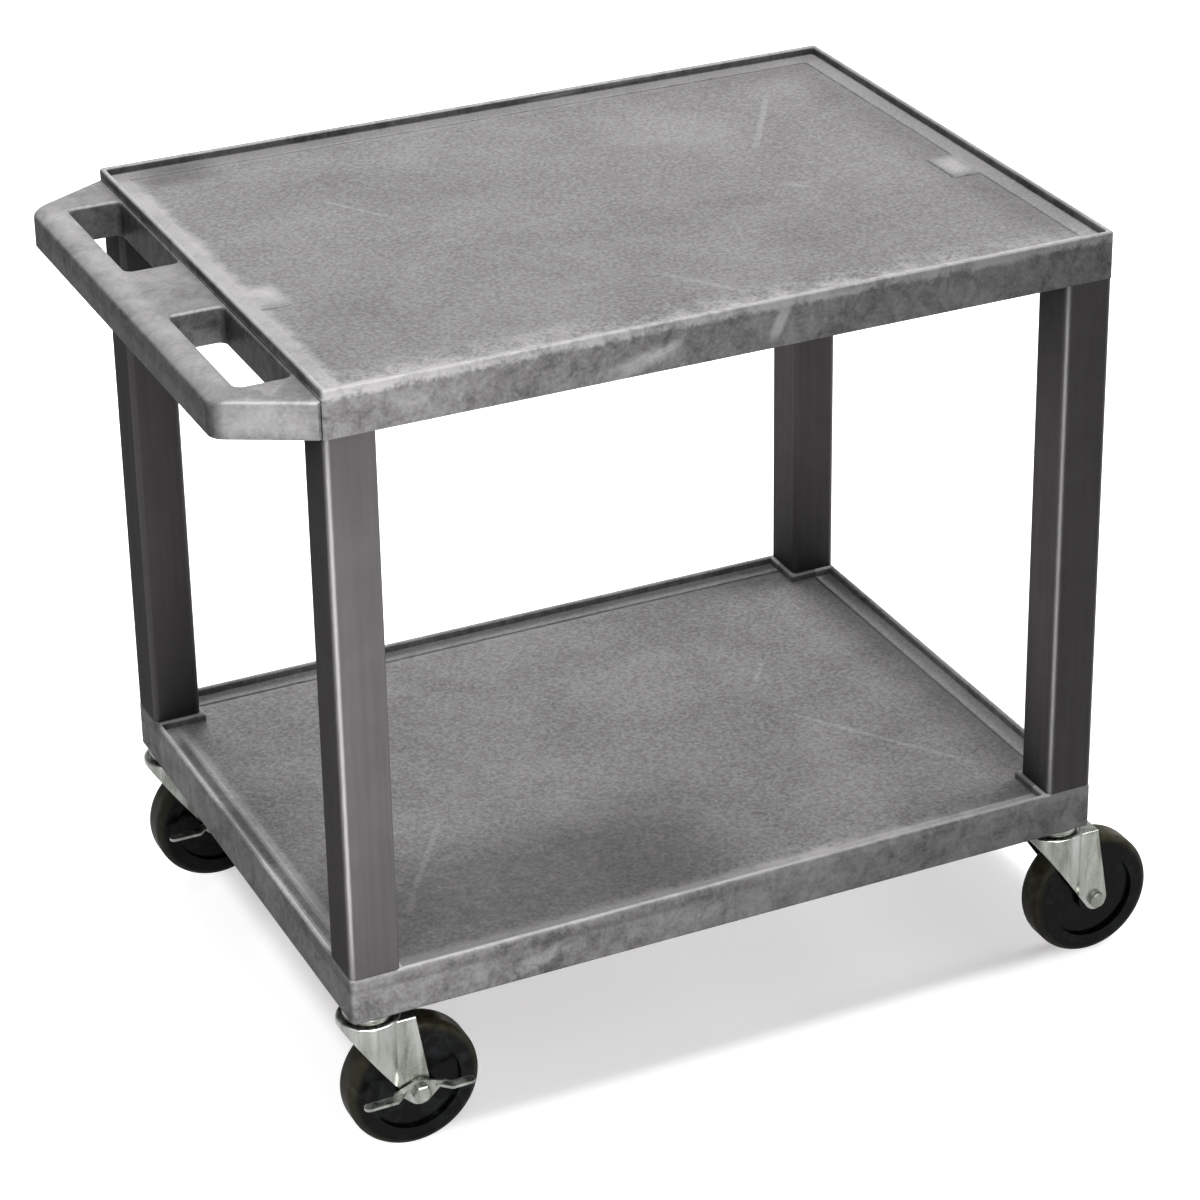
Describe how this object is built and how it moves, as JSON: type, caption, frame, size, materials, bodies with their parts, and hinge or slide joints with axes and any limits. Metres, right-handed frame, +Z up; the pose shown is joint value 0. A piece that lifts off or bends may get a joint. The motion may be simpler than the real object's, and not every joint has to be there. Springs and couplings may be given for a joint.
{
  "type": "rolling utility cart",
  "caption": "Two-shelf moulded utility cart with a slotted push handle at one end, square legs and swivel casters with side brakes under the handle.",
  "frame": {"origin": "on the floor, under the middle of the whole cart's plan box", "axes": "+X along the length away from the push handle, +Y to the back, +Z up; the front long side faces -Y"},
  "size_m": [0.7358, 0.4756, 0.614],
  "materials": {
    "shelf_plastic": "marbled grey structural foam, lightly textured",
    "leg_plastic": "smooth satin charcoal",
    "zinc_steel": "bright zinc plate",
    "bearing_steel": "polished",
    "hard_rubber": "satin black",
    "nylon": "dark nylon"
  },
  "bodies": {
    "cart": {"top_shelf": "shelf_plastic", "lower_shelf": "shelf_plastic", "leg_front_left": "leg_plastic", "grip_sleeve_front_left": "nylon", "stem_front_left": "zinc_steel", "race_cap_front_left": "zinc_steel", "kingpin_washer_front_left": "zinc_steel", "leg_front_right": "leg_plastic", "grip_sleeve_front_right": "nylon", "stem_front_right": "zinc_steel", "race_cap_front_right": "zinc_steel", "kingpin_washer_front_right": "zinc_steel", "leg_back_left": "leg_plastic", "grip_sleeve_back_left": "nylon", "stem_back_left": "zinc_steel", "race_cap_back_left": "zinc_steel", "kingpin_washer_back_left": "zinc_steel", "leg_back_right": "leg_plastic", "grip_sleeve_back_right": "nylon", "stem_back_right": "zinc_steel", "race_cap_back_right": "zinc_steel", "kingpin_washer_back_right": "zinc_steel"},
    "caster_front_left": {"fork_front_left": "zinc_steel", "swivel_balls_front_left": "bearing_steel", "axle_sleeve_front_left": "bearing_steel", "axle_bolt_front_left": "zinc_steel", "axle_nut_front_left": "zinc_steel", "brake_cam_front_left": "zinc_steel"},
    "roller_front_left": {"wheel_front_left": "hard_rubber"},
    "brake_front_left": {"brake_lever_front_left": "zinc_steel"},
    "caster_front_right": {"fork_front_right": "zinc_steel", "swivel_balls_front_right": "bearing_steel", "axle_sleeve_front_right": "bearing_steel", "axle_bolt_front_right": "zinc_steel", "axle_nut_front_right": "zinc_steel"},
    "roller_front_right": {"wheel_front_right": "hard_rubber"},
    "caster_back_left": {"fork_back_left": "zinc_steel", "swivel_balls_back_left": "bearing_steel", "axle_sleeve_back_left": "bearing_steel", "axle_bolt_back_left": "zinc_steel", "axle_nut_back_left": "zinc_steel", "brake_cam_back_left": "zinc_steel"},
    "roller_back_left": {"wheel_back_left": "hard_rubber"},
    "brake_back_left": {"brake_lever_back_left": "zinc_steel"},
    "caster_back_right": {"fork_back_right": "zinc_steel", "swivel_balls_back_right": "bearing_steel", "axle_sleeve_back_right": "bearing_steel", "axle_bolt_back_right": "zinc_steel", "axle_nut_back_right": "zinc_steel"},
    "roller_back_right": {"wheel_back_right": "hard_rubber"}
  },
  "joints": [
    {"name": "swivel_front_left", "type": "hinge", "parent": "cart", "child": "caster_front_left", "pos_m": [-0.28395, -0.20578, 0.11], "axis": [0, 0, 1], "continuous": true},
    {"name": "wheel_spin_front_left", "type": "hinge", "parent": "caster_front_left", "child": "roller_front_left", "pos_m": [-0.25445, -0.20578, 0.0508], "axis": [0, 1, 0], "continuous": true},
    {"name": "brake_tip_front_left", "type": "hinge", "parent": "caster_front_left", "child": "brake_front_left", "pos_m": [-0.25445, -0.20578, 0.0508], "axis": [0, 1, 0], "range_deg": [0, 28]},
    {"name": "swivel_front_right", "type": "hinge", "parent": "cart", "child": "caster_front_right", "pos_m": [0.28765, -0.20578, 0.11], "axis": [0, 0, 1], "continuous": true},
    {"name": "wheel_spin_front_right", "type": "hinge", "parent": "caster_front_right", "child": "roller_front_right", "pos_m": [0.31715, -0.20578, 0.0508], "axis": [0, 1, 0], "continuous": true},
    {"name": "swivel_back_left", "type": "hinge", "parent": "cart", "child": "caster_back_left", "pos_m": [-0.28395, 0.21043, 0.11], "axis": [0, 0, 1], "continuous": true},
    {"name": "wheel_spin_back_left", "type": "hinge", "parent": "caster_back_left", "child": "roller_back_left", "pos_m": [-0.25445, 0.21043, 0.0508], "axis": [0, 1, 0], "continuous": true},
    {"name": "brake_tip_back_left", "type": "hinge", "parent": "caster_back_left", "child": "brake_back_left", "pos_m": [-0.25445, 0.21043, 0.0508], "axis": [0, 1, 0], "range_deg": [0, 28]},
    {"name": "swivel_back_right", "type": "hinge", "parent": "cart", "child": "caster_back_right", "pos_m": [0.28765, 0.21043, 0.11], "axis": [0, 0, 1], "continuous": true},
    {"name": "wheel_spin_back_right", "type": "hinge", "parent": "caster_back_right", "child": "roller_back_right", "pos_m": [0.31715, 0.21043, 0.0508], "axis": [0, 1, 0], "continuous": true}
  ]
}
